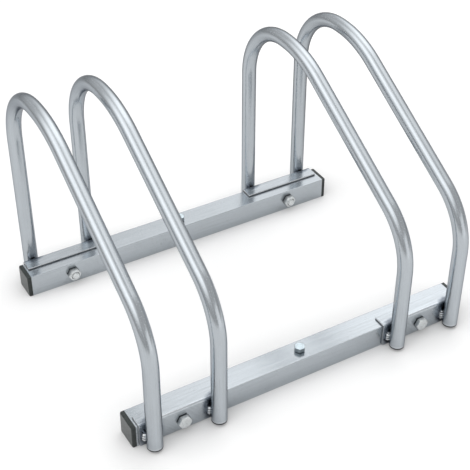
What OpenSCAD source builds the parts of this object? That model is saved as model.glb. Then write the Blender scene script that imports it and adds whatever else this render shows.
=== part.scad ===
// Floor bike stand: two square crossbars lie on the ground and carry four bent tube hoops in two
// pairs, and the front wheel of a bicycle stands in the slot of each pair.
// X runs along the crossbars, Y to the back and Z up. The origin is on the floor under the middle.

/* [Crossbars] */
// Length of each square crossbar without its end caps
bar_len = 381; // [330:1:480]
// Width and height of the square tube
bar_w = 26; // [22:0.5:36]
// Wall of the square tube
bar_wall = 1.5; // [1.2:0.1:2.5]
// Outer corner radius of the square tube
bar_corner_r = 2; // [1:0.1:3]
// Inner corner radius of the square tube
bar_bore_r = 0.8; // [0.3:0.1:1.5]
// Distance between the two crossbars, centre to centre
bar_spacing = 258; // [230:1:310]

/* [Hoops] */
// Outer diameter of the bent tube
tube_d = 16; // [12:0.5:20]
// Wall of the bent tube
tube_wall = 1.2; // [0.8:0.1:2]
// Clear width for the tyre between the two hoops of a pair
slot_w = 54; // [35:1:65]
// Height of the hoops' highest point above the floor
hoop_h = 261.3; // [235:0.1:310]
// Radius of the rear bend, to the tube's centre line
rear_bend_r = 73; // [55:1:85]
// Straight between the rear bend and the brow bend
crown_flat = 4; // [1:0.5:15]
// Radius of the brow bend, to the tube's centre line
brow_bend_r = 116; // [70:1:140]
// Fall of the long slope towards the front, in degrees
slope_angle = 30; // [26:1:36]
// Radius of the front bend, to the tube's centre line
front_bend_r = 71; // [45:1:90]
// How much the bending draws the tube's radius down
bend_draw = 0.1; // [0.1:0.05:0.3]
// Gap from the floor to the open ends of the legs
leg_clear = 3; // [1:0.5:6]

/* [Brackets] */
// Sheet thickness of the angle brackets
bracket_t = 2.5; // [1.5:0.1:4]
// Gap from the crossbar's end to the bracket's end
bracket_inset = 1.5; // [0.5:0.5:5]
// Bracket past the outer side of each hoop
bracket_margin = 4.5; // [2:0.5:8]
// Reach of the bracket's top flange over the crossbar
bracket_reach = 14.7; // [10:0.1:18]
// Gap from the floor to the bracket's lower edge
bracket_clear = 1.5; // [0.5:0.5:4]
// Radius of the bracket's free corners
bracket_corner_r = 3; // [1:0.5:4]
// How much tighter the bracket's inside bend is than the crossbar's corner
bend_relief = 0.5; // [0.2:0.1:0.8]

/* [Welds] */
// Radius of each weld bead
weld_r = 2.4; // [1.8:0.1:3]
// Length of each weld bead
weld_len = 11; // [8:0.5:14]

/* [Clamp bolts] */
// Diameter of the clamp bolts
bolt_d = 8; // [6:0.5:9]
// Width across the flats of the bolt heads and nuts
bolt_af = 13; // [11:0.5:16]
// Height of the bolt heads
bolt_head_h = 5.3; // [4:0.1:7]
// Height of the nuts
nut_h = 6.5; // [4:0.1:8]
// Thread that stands past the nut
bolt_tail = 1.5; // [1:0.1:5]
// Radial clearance of the clamp bolts in the bracket and crossbar
bolt_clear = 0.3; // [0.1:0.1:0.6]
// Radial clearance between the thread and its nut
thread_clear = 0.1; // [0.05:0.05:0.3]
// Chamfer at the tip of each thread
tip_chamfer = 0.7; // [0.3:0.1:0.9]

/* [Floor screws] */
// Diameter of the floor screws
screw_d = 6; // [4:0.5:8]
// Width across the flats of the floor screws' heads
screw_af = 10; // [8:0.5:13]
// Height of the floor screws' heads
screw_head_h = 5.5; // [3:0.1:7]
// Gap from the floor to the floor screws' tips
screw_tip_gap = 0.8; // [0.4:0.1:1.1]
// Radial clearance of the floor screws in the crossbar
screw_clear = 0.3; // [0.1:0.1:0.6]

/* [End caps] */
// Thickness of the cap's head outside the crossbar
cap_t = 4.5; // [3:0.1:7]
// Chamfer round the cap's outer face
cap_chamfer = 1; // [0.4:0.1:1.5]
// Length of the plug inside the crossbar
plug_len = 16; // [12:1:24]
// Wall of the hollow plug
plug_wall = 1.6; // [1:0.1:2.5]
// Height of the ribs round the plug
rib_h = 0.9; // [0.5:0.1:1.5]
// Thickness of the ribs round the plug
rib_t = 1.2; // [0.8:0.1:1.8]
// Number of ribs along the plug
rib_count = 3; // [2:1:4]
// Gap between the ribs and the inside of the crossbar
rib_clear = 0.2; // [0.1:0.05:0.4]

/* [Hidden] */

// Facets of a drawn circle
$fn = 64;
// Cuts run this far past the faces that they open
overrun = 1;
// Each straight of a hoop runs this far into the next bend, and each bend this angle into the next straight
straight_lap = 0.5;
bend_lap_angle = 0.4;
// Where a weld bead sits out from the leg's contact line, as a share of the tube's radius
weld_out_share = 0.7;
// Width of the round land on a hexagon's end, as a share of its width across the flats
hex_land_share = 0.95;
// Slope of the chamfer on a hexagon's end, as its depth over its width
hex_chamfer_share = 0.58;

tube_r = tube_d / 2;
// Places across the stand, measured from the middle
bar_y = bar_spacing / 2;
bar_face_y = bar_y + bar_w / 2;
flange_y = bar_face_y + bracket_t;
leg_y = flange_y + tube_r;
// Places along the stand, measured from the middle
bracket_len = slot_w + 2 * tube_d + 2 * bracket_margin;
pair_x = bar_len / 2 - bracket_inset - bracket_len / 2;
hoop_dx = (slot_w + tube_d) / 2;
// Height of the clamp bolts and of the weld beads
bolt_z = bar_w / 2;
// Inside bend of the brackets
bend_r = bar_corner_r - bend_relief;

// Centre line of a hoop, in Y and Z: the centres of its bends and the ends of its straights
crown_z = hoop_h - tube_r;
slope_dir = [-cos(slope_angle), -sin(slope_angle)];
slope_up = [-sin(slope_angle), cos(slope_angle)];
rear_centre = [leg_y - rear_bend_r, crown_z - rear_bend_r];
crown_start = [rear_centre[0], crown_z];
brow_centre = [crown_start[0] - crown_flat, crown_z - brow_bend_r];
slope_start = brow_centre + brow_bend_r * slope_up;
slope_end_y = front_bend_r - leg_y + front_bend_r * slope_up[0];
slope_len = (slope_end_y - slope_start[0]) / slope_dir[0];
front_centre = slope_start + slope_len * slope_dir - front_bend_r * slope_up;

// A rectangle about the origin with round corners
module rounded_rect(w, h, r) {
    square([w, h - 2 * r], center = true);
    square([w - 2 * r, h], center = true);
    for (x = [r - w / 2, w / 2 - r], y = [r - h / 2, h / 2 - r])
        translate([x, y]) circle(r = r);
}

// A hexagon prism along Z with its far end chamfered, as on bolt heads and nuts
module hexagon(af, h) {
    land_r = af * hex_land_share / 2;
    corner_r = af / 2 / cos(30);
    chamfer_h = (corner_r - land_r) * hex_chamfer_share;
    intersection() {
        cylinder(r = corner_r, h = h, $fn = 6);
        union() {
            cylinder(r = corner_r, h = h - chamfer_h);
            translate([0, 0, h - chamfer_h]) cylinder(r1 = corner_r, r2 = land_r, h = chamfer_h);
        }
    }
}

// A plain shank down from the origin, its tip chamfered
module shank(d, length) {
    translate([0, 0, tip_chamfer - length]) cylinder(d = d, h = length - tip_chamfer);
    translate([0, 0, -length]) cylinder(d1 = d - 2 * tip_chamfer, d2 = d, h = tip_chamfer);
}

// What is modelled at the front left is repeated at the other corners by mirroring
module at_corner(rear, right) {
    mirror([right ? 1 : 0, 0, 0]) mirror([0, rear ? 1 : 0, 0]) children();
}

// Square tube with holes for two clamp bolts and a floor screw, about its own middle
module crossbar() {
    color([0.72, 0.74, 0.76])
    difference() {
        rotate([0, 90, 0]) linear_extrude(height = bar_len, center = true) difference() {
            rounded_rect(bar_w, bar_w, bar_corner_r);
            rounded_rect(bar_w - 2 * bar_wall, bar_w - 2 * bar_wall, bar_bore_r);
        }
        for (x = [-pair_x, pair_x])
            translate([x, 0, 0]) rotate([90, 0, 0])
                cylinder(d = bolt_d + 2 * bolt_clear, h = bar_w + 2 * overrun, center = true);
        cylinder(d = screw_d + 2 * screw_clear, h = bar_w + 2 * overrun, center = true);
    }
}

module front_crossbar() {
    translate([0, -bar_y, bar_w / 2]) crossbar();
}

module rear_crossbar() {
    translate([0, bar_y, bar_w / 2]) crossbar();
}

// Cap at the front left: a chamfered head on the end of the crossbar and a hollow ribbed plug in it
module end_cap() {
    bore_w = bar_w - 2 * bar_wall;
    rib_w = bore_w - 2 * rib_clear;
    core_w = rib_w - 2 * rib_h;
    rib_pitch = plug_len / rib_count;
    color([0.16, 0.17, 0.17])
    translate([-bar_len / 2, -bar_y, bar_w / 2]) rotate([0, 90, 0]) {
        translate([0, 0, -cap_t]) intersection() {
            linear_extrude(height = cap_t) rounded_rect(bar_w, bar_w, bar_corner_r);
            cap_bevel();
            rotate([0, 0, 90]) cap_bevel();
        }
        linear_extrude(height = plug_len) difference() {
            square(core_w, center = true);
            square(core_w - 2 * plug_wall, center = true);
        }
        for (i = [1 : rib_count])
            translate([0, 0, i * rib_pitch - rib_t]) linear_extrude(height = rib_t) difference() {
                rounded_rect(rib_w, rib_w, bar_bore_r);
                square(core_w - plug_wall, center = true);
            }
    }
}

// Bar across the cap's head with its two outer long edges chamfered
module cap_bevel() {
    side = bar_w / 2;
    rotate([90, 0, 0]) linear_extrude(height = bar_w + 2 * overrun, center = true)
        polygon([
            [cap_chamfer - side, 0], [side - cap_chamfer, 0], [side, cap_chamfer],
            [side, cap_t], [-side, cap_t], [-side, cap_chamfer]
        ]);
}

// Straight round rod in Y and Z, from a point along a heading in degrees and on into the next bend
module straight_run(r, from, heading, length) {
    translate(from) rotate([0, 0, heading]) rotate([0, 90, 0])
        cylinder(r = r, h = length + straight_lap);
}

// Bent round rod about a centre, from one angle through a sweep and on into the next straight
module bent_run(r, centre, bend_r, from_angle, sweep) {
    translate(centre) rotate([0, 0, from_angle])
        rotate_extrude(angle = sweep + bend_lap_angle)
            translate([bend_r, 0]) circle(r = r - bend_draw);
}

// Round rod along a hoop's centre line, its legs made longer by the given length
module hoop_rod(r, longer) {
    leg_start = leg_clear - longer;
    rotate([90, 0, 90]) {
        straight_run(r, [leg_y, leg_start], 90, rear_centre[1] - leg_start);
        bent_run(r, rear_centre, rear_bend_r, 0, 90);
        straight_run(r, crown_start, 180, crown_flat);
        bent_run(r, brow_centre, brow_bend_r, 90, slope_angle);
        straight_run(r, slope_start, 180 + slope_angle, slope_len);
        bent_run(r, front_centre, front_bend_r, 90 + slope_angle, 90 - slope_angle);
        straight_run(r, [-leg_y, leg_start], 90, front_centre[1] - leg_start);
    }
}

// One hoop of bent tube, its plane at a place along X
module hoop(x) {
    color([0.74, 0.76, 0.78])
    translate([x, 0, 0]) difference() {
        hoop_rod(tube_r, 0);
        hoop_rod(tube_r - tube_wall, overrun);
    }
}

// L-shaped section of a bracket, seen along the crossbar: it hugs the crossbar's outer top corner
module bracket_section() {
    bend_centre = [bend_r - bar_face_y, bar_w - bend_r];
    translate([-flange_y, bracket_clear]) square([bracket_t, bend_centre[1] - bracket_clear]);
    translate([bend_centre[0], bar_w]) square([bracket_reach - bend_r, bracket_t]);
    intersection() {
        translate(bend_centre) difference() {
            circle(r = bend_r + bracket_t);
            circle(r = bend_r);
        }
        translate([-flange_y, bend_centre[1]]) square(bend_r + bracket_t);
    }
}

// Bracket at the front left, with its bolt hole and its free corners rounded
module bracket() {
    height = bar_w + bracket_t - bracket_clear;
    depth = bracket_t + bracket_reach;
    color([0.70, 0.72, 0.74])
    translate([-pair_x, 0, 0]) difference() {
        intersection() {
            rotate([90, 0, 90]) linear_extrude(height = bracket_len, center = true) bracket_section();
            translate([0, -flange_y, bracket_clear + height])
                rotate([90, 0, 0])
                linear_extrude(height = 2 * (depth + overrun), center = true)
                    rounded_rect(bracket_len, 2 * height, bracket_corner_r);
            translate([0, -flange_y, 0])
                linear_extrude(height = bar_w + bracket_t + overrun)
                    rounded_rect(bracket_len, 2 * depth, bracket_corner_r);
        }
        translate([0, -bar_face_y, bolt_z]) rotate([90, 0, 0])
            cylinder(d = bolt_d + 2 * bolt_clear, h = 2 * (bracket_t + overrun), center = true);
    }
}

// Weld beads of the front left bracket: a short bead on both sides of each leg
module welds() {
    weld_out = tube_r * weld_out_share;
    wedge = tube_r - sqrt(tube_r * tube_r - weld_out * weld_out);
    straight = weld_len - 2 * weld_r;
    color([0.80, 0.81, 0.82])
    for (leg_x = [-pair_x - hoop_dx, hoop_dx - pair_x], side = [-1, 1])
        difference() {
            translate([leg_x + side * weld_out, -flange_y - wedge / 2, bolt_z]) {
                cylinder(r = weld_r, h = straight, center = true);
                for (end = [-straight / 2, straight / 2])
                    translate([0, 0, end]) sphere(r = weld_r);
            }
            translate([leg_x, -leg_y, 0]) cylinder(r = tube_r, h = bar_w);
            translate([leg_x - tube_d, -flange_y, 0]) cube([2 * tube_d, tube_d, bar_w]);
        }
}

// Clamp bolt at the front left, its head on the bracket and its tip past the nut
module clamp_bolt() {
    grip = bracket_t + bar_w + nut_h + bolt_tail;
    color([0.82, 0.83, 0.80])
    translate([-pair_x, -flange_y, bolt_z]) rotate([90, 0, 0]) {
        hexagon(bolt_af, bolt_head_h);
        shank(bolt_d, grip);
    }
}

// Nut at the front left, on the crossbar's inner face
module nut() {
    color([0.80, 0.81, 0.78])
    translate([-pair_x, bar_w / 2 - bar_y, bolt_z]) rotate([-90, 0, 0]) difference() {
        hexagon(bolt_af, nut_h);
        translate([0, 0, -overrun]) cylinder(d = bolt_d + 2 * thread_clear, h = nut_h + 2 * overrun);
    }
}

// Screw that holds the front crossbar to the ground, cut off at the crossbar's underside
module floor_screw() {
    color([0.82, 0.83, 0.80])
    translate([0, -bar_y, bar_w]) {
        hexagon(screw_af, screw_head_h);
        shank(screw_d, bar_w - screw_tip_gap);
    }
}

front_crossbar();
rear_crossbar();
at_corner(false, false) end_cap();  // front_left_cap
at_corner(false, true) end_cap();  // front_right_cap
at_corner(true, false) end_cap();  // rear_left_cap
at_corner(true, true) end_cap();  // rear_right_cap
hoop(-pair_x - hoop_dx);  // left_outer_hoop
hoop(hoop_dx - pair_x);  // left_inner_hoop
hoop(pair_x - hoop_dx);  // right_inner_hoop
hoop(pair_x + hoop_dx);  // right_outer_hoop
at_corner(false, false) bracket();  // front_left_bracket
at_corner(false, true) bracket();  // front_right_bracket
at_corner(true, false) bracket();  // rear_left_bracket
at_corner(true, true) bracket();  // rear_right_bracket
at_corner(false, false) welds();  // front_left_welds
at_corner(false, true) welds();  // front_right_welds
at_corner(true, false) welds();  // rear_left_welds
at_corner(true, true) welds();  // rear_right_welds
at_corner(false, false) clamp_bolt();  // front_left_bolt
at_corner(false, true) clamp_bolt();  // front_right_bolt
at_corner(true, false) clamp_bolt();  // rear_left_bolt
at_corner(true, true) clamp_bolt();  // rear_right_bolt
at_corner(false, false) nut();  // front_left_nut
at_corner(false, true) nut();  // front_right_nut
at_corner(true, false) nut();  // rear_left_nut
at_corner(true, true) nut();  // rear_right_nut
at_corner(false, false) floor_screw();  // front_floor_screw
at_corner(true, false) floor_screw();  // rear_floor_screw
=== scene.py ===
"""Floor bike stand: bent tube hoops welded to sheet brackets, which are bolted to two square crossbars.

Every length is in metres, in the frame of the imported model: +X along the crossbars, +Y from the low
front bends to the high rear bends, +Z up from the floor.
"""

import math

import bmesh
import bpy
from bpy.props import FloatProperty, FloatVectorProperty, IntProperty, PointerProperty
from mathutils import Matrix, Vector, noise


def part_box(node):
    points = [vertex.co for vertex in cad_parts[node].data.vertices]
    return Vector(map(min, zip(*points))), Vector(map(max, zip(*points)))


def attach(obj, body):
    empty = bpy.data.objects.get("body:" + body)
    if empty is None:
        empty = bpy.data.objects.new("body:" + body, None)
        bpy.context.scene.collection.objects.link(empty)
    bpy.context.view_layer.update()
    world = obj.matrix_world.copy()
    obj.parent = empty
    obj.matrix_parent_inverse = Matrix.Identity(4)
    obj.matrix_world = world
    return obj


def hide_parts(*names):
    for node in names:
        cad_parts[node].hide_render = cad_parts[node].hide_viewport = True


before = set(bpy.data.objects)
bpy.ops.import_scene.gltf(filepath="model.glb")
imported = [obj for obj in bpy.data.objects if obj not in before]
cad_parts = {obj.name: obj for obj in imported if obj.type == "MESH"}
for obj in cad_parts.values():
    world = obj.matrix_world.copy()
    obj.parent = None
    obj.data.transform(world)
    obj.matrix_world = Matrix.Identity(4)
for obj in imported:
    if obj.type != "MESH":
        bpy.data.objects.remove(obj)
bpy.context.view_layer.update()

bl_info = {
    "name": "Floor bike stand",
    "version": (1, 0, 0),
    "blender": (4, 5, 0),
    "location": "View3D > Sidebar > Bike stand",
    "description": "Builds a floor stand for two bicycles, with its crossbars, hoops and fasteners",
    "category": "Add Mesh",
}


# Names and places

MM = 0.001
BODY = "root"
BARS = ("front", "rear")
LEFT_PAIR = ("left_outer_hoop", "left_inner_hoop")
HOOPS = (*LEFT_PAIR, "right_inner_hoop", "right_outer_hoop")

# The sign of x and y that takes the front left corner to each corner.
CORNERS = {
    "front_left": (1, 1),
    "front_right": (-1, 1),
    "rear_left": (1, -1),
    "rear_right": (-1, -1),
}

HOOP_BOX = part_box("left_outer_hoop")
BAR_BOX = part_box("front_crossbar")
BRACKET_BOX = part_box("front_left_bracket")
BOLT_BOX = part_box("front_left_bolt")
NUT_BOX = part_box("front_left_nut")
SCREW_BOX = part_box("front_floor_screw")
CAP_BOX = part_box("front_left_cap")
WELD_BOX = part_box("front_left_welds")

# Where the crossbars and the brackets end: heights, and distances from the middle along Y.
BAR_TOP = BAR_BOX[1].z
BAR_FACE = abs(BAR_BOX[0].y)
BRACKET_TOP = BRACKET_BOX[1].z
BRACKET_FACE = abs(BRACKET_BOX[0].y)


def middle(node):
    """The middle of a node's box."""
    low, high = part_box(node)
    return (low + high) / 2


def length(name, text, default):
    """A length that the user can change."""
    return FloatProperty(name=name, description=text, default=default, min=0.0, unit="LENGTH", precision=5)


def share(name, text, default):
    """A plain number that the user can change."""
    return FloatProperty(name=name, description=text, default=default, min=0.0)


def angle(name, text, degrees):
    """An angle that the user can change."""
    return FloatProperty(name=name, description=text, default=math.radians(degrees), subtype="ANGLE")


def colour(name, text, default):
    """A colour that the user can change."""
    return FloatVectorProperty(
        name=name, description=text, default=default, size=3, min=0.0, max=1.0, subtype="COLOR"
    )


# Sizes and colours that a user would change


class BarSizes(bpy.types.PropertyGroup):
    """The square crossbars."""

    wall: length("Wall", "Thickness of the square tube's wall", 1.5 * MM)
    corner: length("Corner radius", "Outer radius of the tube's four corners", 0.7 * MM)
    bore_corner: length("Bore radius", "Radius inside the tube's four corners", 0.3 * MM)
    bolt_hole: length("Bolt hole", "Diameter of the holes for the clamp bolts", 8.6 * MM)
    screw_hole: length("Screw hole", "Diameter of the holes for the floor screw", 6.6 * MM)


class HoopSizes(bpy.types.PropertyGroup):
    """The bent tube of one hoop, from the rear leg to the front leg."""

    wall: length("Wall", "Thickness of the round tube's wall", 1.2 * MM)
    height: length("Height", "Height of the crown above the floor", round(HOOP_BOX[1].z, 4))
    reach: length("Reach", "Distance from the middle to a leg's outer side", round(HOOP_BOX[1].y, 4))
    clear: length("Leg clearance", "Gap between a leg's end and the floor", 3.0 * MM)
    rear_bend: length("Rear bend", "Centre line radius of the high rear bend", 73.0 * MM)
    crown: length("Crown", "Length of the level stretch on top", 4.0 * MM)
    brow_bend: length("Brow bend", "Centre line radius between the crown and the slope", 116.0 * MM)
    front_bend: length("Front bend", "Centre line radius of the low front bend", 71.0 * MM)
    slope: angle("Slope", "Fall of the long slope", 30)
    sides: IntProperty(name="Sides", description="Faces round the tube", default=48, min=12)
    rim: length("Rim", "Size of the broken edge at the tube's ends", 0.5 * MM)


class BracketSizes(bpy.types.PropertyGroup):
    """The bent sheet brackets."""

    sheet: length("Sheet", "Thickness of the sheet", 2.5 * MM)
    bend: length("Bend", "Outer radius of the bend", 2.8 * MM)
    corner: length("Corner radius", "Radius of the sheet's free corners", 0.7 * MM)
    edge: length("Edge", "Size of the broken edge all round the sheet", 0.15 * MM)
    trim: length("Trim", "How far the sheared sheet stops short of its full length and depth", 0.8 * MM)


class WeldSizes(bpy.types.PropertyGroup):
    """The weld beads beside each leg."""

    radius: length("Radius", "Radius of a bead", 2.8 * MM)
    offset: length("Offset", "Distance from a leg's axis to the bead", 7.0 * MM)
    ripple: length("Ripple", "Distance between two ripples", 2.9 * MM)
    depth: length("Depth", "Height of a ripple", 0.75 * MM)


class FastenerSizes(bpy.types.PropertyGroup):
    """The clamp bolts, their nuts and the floor screws."""

    bolt: length("Bolt thread", "Diameter of the clamp bolt's thread", 8.0 * MM)
    bolt_pitch: length("Bolt pitch", "Pitch of the clamp bolt's thread", 1.25 * MM)
    bolt_hex: length("Bolt hexagon", "Across flats of the bolt heads and nuts", 13.0 * MM)
    bolt_head: length("Bolt head", "Height of the bolt heads", 5.3 * MM)
    screw: length("Screw thread", "Diameter of the floor screw's thread", 6.0 * MM)
    screw_pitch: length("Screw pitch", "Pitch of the floor screw's thread", 1.0 * MM)
    screw_hex: length("Screw hexagon", "Across flats of the floor screw's head", 10.0 * MM)
    screw_head: length("Screw head", "Height of the floor screw's head", 5.5 * MM)
    tip: length("Tip chamfer", "Chamfer at the end of each thread", 0.7 * MM)
    collar: length("Collar", "Height of the narrow collar under a head or nut", 0.7 * MM)
    land: share("Land", "Flat top of a hexagon, as a share of its width across flats", 0.95)


class CapSizes(bpy.types.PropertyGroup):
    """The plastic end caps."""

    head: length("Head", "Thickness of the head outside the tube", 4.5 * MM)
    chamfer: length("Chamfer", "Chamfer round the head's outer face", 1.0 * MM)
    plug_wall: length("Plug wall", "Wall of the hollow plug", 1.6 * MM)
    rib_height: length("Rib height", "Height of the ribs round the plug", 0.9 * MM)
    rib_width: length("Rib width", "Width of a rib", 1.2 * MM)
    rib_clear: length("Rib clearance", "Gap between the ribs and the tube", 0.2 * MM)
    ribs: IntProperty(name="Ribs", description="Ribs along the plug", default=3, min=0)


class Finishes(bpy.types.PropertyGroup):
    """Colours and gloss of the surfaces."""

    bar_steel: colour("Crossbar steel", "Satin steel of the crossbars", (0.545, 0.585, 0.620))
    hoop_steel: colour("Hoop steel", "Satin steel of the hoops", (0.560, 0.600, 0.635))
    bracket_steel: colour("Bracket steel", "Satin steel of the brackets", (0.535, 0.575, 0.610))
    cut_edge: colour("Sheared edge", "Cut edges of the brackets", (0.340, 0.360, 0.380))
    weld_metal: colour("Weld metal", "Bead metal", (0.760, 0.790, 0.810))
    zinc: colour("Zinc", "Plating of the bolts", (0.865, 0.895, 0.900))
    # Painted light: the bolts' plating made brighter for the nuts, which sit in shade between the bars.
    lit_nut_zinc: colour("Nut zinc", "Brighter plating of the nuts", (0.930, 0.965, 0.970))
    screw_zinc: colour("Screw zinc", "Bluer plating of the floor screws", (0.780, 0.890, 0.950))
    plastic: colour("Plastic", "Moulded end caps", (0.042, 0.050, 0.049))
    steel_gloss: share("Steel roughness", "Roughness of the satin steel", 0.22)
    zinc_gloss: share("Zinc roughness", "Roughness of the plating", 0.36)
    plastic_gloss: share("Plastic roughness", "Roughness of the moulding", 0.38)


class StageSettings(bpy.types.PropertyGroup):
    """The floor, the light and the camera."""

    floor_size: length("Floor size", "Side of the square floor", 12.0)
    floor_colour: colour("Floor colour", "Colour that the object sees", (0.85, 0.85, 0.85))
    camera_place: FloatVectorProperty(
        name="Camera place", description="Where the camera stands", size=3, unit="LENGTH",
        default=(-0.48756, -0.83630, 0.81261),
    )
    camera_turn: angle("Camera turn", "Heading of the camera", -30.213)
    camera_tilt: angle("Camera tilt", "How far the camera looks down", 36.835)
    camera_roll: angle("Camera roll", "Roll of the camera", 0.1)
    lens: FloatProperty(name="Lens", description="Focal length", default=87.67, unit="CAMERA")


class BikeStandSettings(bpy.types.PropertyGroup):
    """Everything that can be changed on the stand."""

    bar: PointerProperty(type=BarSizes)
    hoop: PointerProperty(type=HoopSizes)
    bracket: PointerProperty(type=BracketSizes)
    weld: PointerProperty(type=WeldSizes)
    fastener: PointerProperty(type=FastenerSizes)
    cap: PointerProperty(type=CapSizes)
    finish: PointerProperty(type=Finishes)
    stage: PointerProperty(type=StageSettings)


# Shader maths


class Signal:
    """One socket of a material, which Python's operators carry on through Math nodes."""

    def __init__(self, recipe, socket):
        self.recipe = recipe
        self.socket = socket

    def __add__(self, other):
        return self.recipe.maths("ADD", self, other)

    def __radd__(self, other):
        return self.recipe.maths("ADD", other, self)

    def __sub__(self, other):
        return self.recipe.maths("SUBTRACT", self, other)

    def __rsub__(self, other):
        return self.recipe.maths("SUBTRACT", other, self)

    def __mul__(self, other):
        return self.recipe.maths("MULTIPLY", self, other)

    def __rmul__(self, other):
        return self.recipe.maths("MULTIPLY", other, self)

    def __truediv__(self, other):
        return self.recipe.maths("DIVIDE", self, other)

    def __pow__(self, other):
        return self.recipe.maths("POWER", self, other)

    def __abs__(self):
        return self.recipe.maths("ABSOLUTE", self)


class Recipe:
    """The nodes of one material or of the world."""

    def __init__(self, owner):
        owner.use_nodes = True
        self.owner = owner
        self.tree = owner.node_tree
        self.tree.nodes.clear()

    def maths(self, operation, *values):
        """A Math node on one or two values."""
        return self.node("ShaderNodeMath", {"operation": operation}, dict(enumerate(values)))

    def node(self, kind, settings=None, inputs=None, output=0):
        """A new node: its settings are set first, then the values or links of its sockets."""
        made = self.tree.nodes.new(kind)
        for name, value in (settings or {}).items():
            if name == "stops":
                self.set_stops(made.color_ramp, value)
            else:
                setattr(made, name, value)
        for name, value in (inputs or {}).items():
            if isinstance(value, Signal):
                self.tree.links.new(value.socket, made.inputs[name])
            else:
                made.inputs[name].default_value = value
        return Signal(self, made.outputs[output]) if made.outputs else None

    def set_stops(self, ramp, stops):
        """A ramp's stops, each a position and a grey level."""
        while len(ramp.elements) < len(stops):
            ramp.elements.new(1.0)
        for element, (position, level) in zip(ramp.elements, stops):
            element.position = position
            element.color = grey(level)

    def place(self):
        """The point on the piece, in its own frame."""
        return self.node("ShaderNodeTexCoord", output="Object")

    def along(self, vector, axis):
        """How far a vector goes along an axis."""
        settings = {"operation": "DOT_PRODUCT"}
        return self.node("ShaderNodeVectorMath", settings, {0: vector, 1: axis}, output="Value")

    def parts(self, vector):
        """The x, y and z of a vector."""
        split = self.node("ShaderNodeSeparateXYZ", inputs={0: vector}).socket.node
        return [Signal(self, socket) for socket in split.outputs]

    def grain(self, vector, scale, detail=2.0, rough=0.5, turn=None):
        """Soft noise from 0 to 1. The scale is one number or three, and the vector may be turned first."""
        if turn:
            vector = self.node("ShaderNodeMapping", inputs={"Vector": vector, "Rotation": turn})
        if isinstance(scale, float):
            scale = (scale, scale, scale)
        scaled = self.node("ShaderNodeMapping", inputs={"Vector": vector, "Scale": scale})
        values = {"Vector": scaled, "Scale": 1.0, "Detail": detail, "Roughness": rough}
        return self.node("ShaderNodeTexNoise", inputs=values)

    def span(self, value, low, high, to_low=0.0, to_high=1.0, kind="LINEAR"):
        """A value carried from one range to another, and held inside it."""
        values = {"Value": value, "From Min": low, "From Max": high, "To Min": to_low, "To Max": to_high}
        return self.node("ShaderNodeMapRange", {"interpolation_type": kind}, values)

    def fade(self, value, low, high, to_low=0.0, to_high=1.0):
        """The same, with a soft start and end."""
        return self.span(value, low, high, to_low, to_high, "SMOOTHSTEP")

    def blend(self, factor, first, second):
        """A colour between two."""
        return self.node("ShaderNodeMix", {"data_type": "RGBA"}, {0: factor, 6: first, 7: second}, output=2)

    def shade(self, tint, level):
        """A colour made darker or lighter by a value."""
        even = self.node("ShaderNodeCombineColor", inputs={0: level, 1: level, 2: level})
        settings = {"data_type": "RGBA", "blend_type": "MULTIPLY"}
        return self.node("ShaderNodeMix", settings, {0: 1.0, 6: tint, 7: even}, output=2)

    def surface(self, base, roughness, height, depth, plain):
        """A material with this colour, gloss and bump. The last is what is the same all over it."""
        normal = self.node("ShaderNodeBump", inputs={"Height": height, "Distance": depth})
        values = {"Base Color": base, "Roughness": roughness, "Normal": normal, **plain}
        return self.finish(self.node("ShaderNodeBsdfPrincipled", inputs=values))

    def finish(self, shader):
        """The shader goes to the material's output."""
        self.node("ShaderNodeOutputMaterial", inputs={"Surface": shader})
        return self.owner


def paint(rgb):
    """A colour with its alpha."""
    return (rgb[0], rgb[1], rgb[2], 1.0)


def grey(level):
    """A grey with its alpha."""
    return (level, level, level, 1.0)


# Finishes


# How much light still reflects at a glancing angle: from tubes and zinc, and from flat steel.
ROUND_EDGE = (0.46, 0.47, 0.49, 1.0)
FLAT_EDGE = (0.82, 0.83, 0.85, 1.0)

# Marks per metre along X, Y and Z, as each steel was drawn or brushed.
BAR_GRAIN = (45.0, 2400.0, 2400.0)
HOOP_GRAIN = (2400.0, 2400.0, 45.0)
SHEET_GRAIN = (110.0, 1300.0, 1500.0)
SHEET_SLANT = math.radians(-48)

# What heat, shears, dirt and use leave on the surfaces, with painted shade and painted highlights among
# them.
# Painted shadow at the foot of each leg, and a painted highlight ring above it.
FOOT_SHADOW = (0.012, 0.014, 0.018, 1.0)
FOOT_HIGHLIGHT = (0.82, 0.85, 0.88, 1.0)
# Painted highlight along the brackets' bend.
BEND_HIGHLIGHT = (0.86, 0.89, 0.92, 1.0)
BLUED = (0.22, 0.26, 0.33, 1.0)
# Near black beside the welds: partly scorch, partly painted shadow and painted reflection of the leg.
SCORCH_AND_SHADE = (0.060, 0.070, 0.085, 1.0)
# Painted shadow in the gap behind each leg.
GAP_SHADOW = (0.004, 0.004, 0.005, 1.0)
# Painted highlight over the burnish of the upper sheared edges, and painted shadow along their lower part
# and in the joints.
BURNISH_AND_HIGHLIGHT = (0.93, 0.95, 0.97, 1.0)
EDGE_SHADOW = (0.060, 0.068, 0.080, 1.0)
SOOT = (0.035, 0.040, 0.050, 1.0)
# Painted shade where heads and nuts bear, and round the nuts' bores.
CREVICE_SHADE = (0.015, 0.016, 0.020, 1.0)
SCUFFED = (0.16, 0.17, 0.17, 1.0)
RUBBED = (0.14, 0.15, 0.15, 1.0)


def new_finish(name):
    """The recipe of a new material."""
    return Recipe(bpy.data.materials.new(name))


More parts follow.
